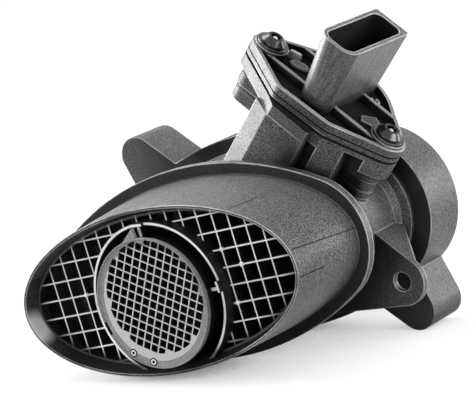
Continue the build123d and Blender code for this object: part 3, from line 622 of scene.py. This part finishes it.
def raised(name, outline, high, material, taper=0.85):
    """Low boss in the module's tray, up to a height of the tower; taper is its top's share of the outline."""
    count = len(outline)
    middle = [sum(point[k] for point in outline) / count for k in (0, 1)]
    shoulder = high - 0.35 * (high - DETAIL_FOOT)
    points = []
    for height, grow in ((DETAIL_FOOT, 1.0), (shoulder, 1.0), (high, taper)):
        for point in outline:
            w, y = (middle[k] + (point[k] - middle[k]) * grow for k in (0, 1))
            points.append(tower_point(w, y, height))
    return piece(name, points, skin(3, count), material)


def oblong(centre, half_long, half_wide, heading, steps=6):
    """Outline of a slot with round ends, in the module's plan."""
    ahead = (math.cos(math.radians(heading)), math.sin(math.radians(heading)))
    points = []
    for end in (1, -1):
        shift = end * (half_long - half_wide)
        for step in range(steps + 1):
            turn = math.radians(heading + 90 * (1 - end) - 90 + 180 * step / steps)
            points.append((centre[0] + shift * ahead[0] + half_wide * math.cos(turn),
                           centre[1] + shift * ahead[1] + half_wide * math.sin(turn)))
    return points


def lattice_bosses(material):
    """Small domed bosses on four crossings of the lattice."""
    for number, (x, z) in enumerate(LATTICE_BOSSES, 1):
        centre = mm(x, LATTICE_Y, z)
        turned(f"lattice_boss_{number}", centre, UPSTREAM, BOSS_PROFILE, material, 14)


def disc_dimples(rim, pit):
    """Two small ringed pits on the mesh disc's rim."""
    for number, (x, z) in enumerate(DISC_PITS, 1):
        foot, top = mm(x, DISC_Y, z), mm(x, DISC_Y - RING_PROUD, z)
        turned(f"disc_pit_{number}", foot, UPSTREAM, PIT_PROFILE, pit, 18)
        ring(f"disc_ring_{number}", top, UPSTREAM, *DISC_RING, rim, "grey_plastic", steps=18)


def tray_details(material, dark, pale):
    """Clip, low mound, hook and ledge that stand in the module's tray."""
    raised("tray_clip", oblong(CLIP_PLACE, *CLIP_HALF, TRAY_TURN), CLIP_TOP, pale)
    raised("tray_mound", oblong(MOUND_PLACE, *MOUND_HALF, TRAY_TURN), POST_TOP, material, 0.8)
    hook = tower_point(*HOOK_PLACE, HOOK_HEIGHT)
    ring("tray_hook", hook, TOWER_UP, *HOOK_RING, pale, "module_plastic", *HOOK_ARC, 20)
    raised("tray_hook_post", oblong(HOOK_PLACE, *POST_HALF, 0.0), POST_TOP, dark)
    raised("tray_ledge", LEDGE_OUTLINE, LEDGE_TOP, material, 0.92)


def screw_sockets(pin, shade):
    """Centre pin and dark rim of each screw's socket; the dark rim is painted shade in the socket."""
    for name, w in (("left", -SCREW_ACROSS), ("right", SCREW_ACROSS)):
        floor, mouth = tower_point(w, 0, SCREW_FLOOR), tower_point(w, 0, SCREW_MOUTH)
        turned(f"socket_pin_{name}", floor, TOWER_UP, PIN_PROFILE, pin, 16)
        ring(f"socket_rim_{name}", mouth, TOWER_UP, *SCREW_RING, shade, "screw_steel", steps=24)


def dress(nodes, material):
    """Give every slot of these CAD nodes one material."""
    for name in nodes:
        data = frame["nodes"][name].data
        if not data.materials:
            data.materials.append(material)
        for index in range(len(data.materials)):
            data.materials[index] = material


def stage_floor():
    """Pale floor under the three points that the sensor rests on."""
    normal = Vector(FLOOR_NORMAL).normalized()
    side = normal.cross(Vector((0, 1, 0))).normalized()
    ahead = side.cross(normal)
    centre = -FLOOR_DEPTH * normal
    corners = [centre + FLOOR_HALF * (a * side + b * ahead) for a, b in ((-1, -1), (1, -1), (1, 1), (-1, 1))]
    data = bpy.data.meshes.new("floor")
    data.from_pydata([tuple(corner) for corner in corners], [], [(0, 1, 2, 3)])
    floor = bpy.data.objects.new("floor", data)
    bpy.context.scene.collection.objects.link(floor)
    made = Material("floor_white", Base_Color=grey(0.14), Roughness=0.9, Specular_IOR_Level=0.05,
                    Emission_Color=grey(1.0))
    reach = made.node("ShaderNodeVectorMath", operation="LENGTH")
    made.put(reach.inputs[0], made.place())
    white = made.slide(reach.outputs["Value"], WHITE_NEAR, WHITE_FAR, "SMOOTHSTEP")
    # Painted contact shadow: an occlusion node darkens the floor's white emission near the sensor.
    near = made.node("ShaderNodeAmbientOcclusion", samples=16)
    near.inputs["Distance"].default_value = CONTACT_SHADE
    shade = made.math("POWER", near.outputs["AO"], 0.2)
    made.put(made.shader.inputs["Emission Strength"], made.product(made.shown(), shade, white))
    data.materials.append(made.material)


def world():
    """White backdrop for the camera and for reflections, dim grey light for the rest."""
    studio = bpy.data.worlds.new("studio")
    bpy.context.scene.world = studio
    studio.use_nodes = True
    made = Nodes(studio.node_tree)
    back = made.tree.nodes["Background"]
    back.inputs["Color"].default_value = grey(1.0)
    made.put(back.inputs["Strength"], made.slide(made.shown(), (0.0, WORLD_LIGHT), (1.0, 1.0)))


def camera():
    """Camera at the photograph's viewing angle."""
    data = bpy.data.cameras.new("camera")
    data.lens = FOCAL_PIXELS * SENSOR_MM / PHOTO_WIDE
    data.sensor_width = SENSOR_MM
    data.clip_end = VIEW_DEPTH
    made = bpy.data.objects.new("camera", data)
    bpy.context.scene.collection.objects.link(made)
    right = Vector(CAMERA_RIGHT).normalized()
    back = right.cross(Vector(CAMERA_UP).normalized()).normalized()
    turn = Matrix((right, back.cross(right), back)).transposed().to_4x4()
    made.matrix_world = Matrix.Translation(CAMERA_PLACE) @ turn
    bpy.context.scene.camera = made


def softbox(name, direction, size, power):
    """Area lamp aimed at the sensor."""
    right = Vector(CAMERA_RIGHT)
    up = Vector(CAMERA_UP)
    aim = (direction[0] * right + direction[1] * up + direction[2] * right.cross(up)).normalized()
    data = bpy.data.lights.new(name, "AREA")
    data.shape = "RECTANGLE"
    data.size, data.size_y = size
    data.energy = power
    made = bpy.data.objects.new(name, data)
    bpy.context.scene.collection.objects.link(made)
    made.location = Vector(LAMP_TARGET) + LAMP_REACH * aim
    made.rotation_euler = aim.to_track_quat("Z", "Y").to_euler()


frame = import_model()

bpy.context.scene.view_settings.view_transform = "Standard"
camera()
world()
stage_floor()
for lamp in LAMPS:
    softbox(*lamp)

duct_look = filled_plastic("duct_plastic", 0.045, 0.080, 0.40, marks=duct_marks, deep=0.030)
module_look = filled_plastic("module_plastic", 0.040, 0.070, 0.36, 0.4, marks=module_marks, deep=0.022)
dress(("housing",), duct_look)
# The flow tube's near-black grey, darker than the duct's plastic, is painted shade where it lies in shadow
# between the disc and the collar.
dress(("flow_tube",), filled_plastic("tube_plastic", 0.006, 0.012, 0.4))
dress(("sensor_housing", "electronics_cover", "bypass_cover"), module_look)
dress(("inlet_grid",), lattice_plastic())
dress(("mesh_disc",), disc_plastic())
dress(("screw_left", "screw_right"), metal("screw_steel", 0.06, 0.22))
dress(("washer_left", "washer_right"), metal("washer_steel", 0.10, 0.3))
dress(("bushing_left", "bushing_right"), metal("bushing_steel", 0.3, 0.35))
dress(("insert_left", "insert_right"), metal("insert_brass", 0.45, 0.35))
dress([f"terminal_{number}" for number in range(1, 6)], metal("contact_metal", 0.5, 0.3))
dress(("base_plate",), metal("plate_metal", 0.6, 0.35))
dress(("o_ring",), coated("seal_rubber", 0.02, 0.5))
dress(("temperature_sensor",), coated("coated_bead", 0.05, 0.25))
dress(("circuit_board",), coated("board_coat", 0.06, 0.3))
dress(("sensor_chip",), coated("chip_coat", 0.15, 0.2))

detail_look = filled_plastic("detail_plastic", 0.03, 0.05, 0.4, 0.4)
shade_look = filled_plastic("shade_plastic", 0.012, 0.02, 0.5, 0.4, highlight_grey=0.05)
pale_look = coated("pale_plastic", 0.95, 0.45)
lattice_bosses(pale_look)
disc_dimples(pale_look, shade_look)
tray_details(detail_look, shade_look, coated("clip_plastic", 0.35, 0.4))
screw_sockets(coated("pin_steel", 0.7, 0.3), shade_look)

for node in frame["nodes"].values():
    node.data.shade_smooth()
    node.data.set_sharp_from_angle(angle=CAD_SHARP)
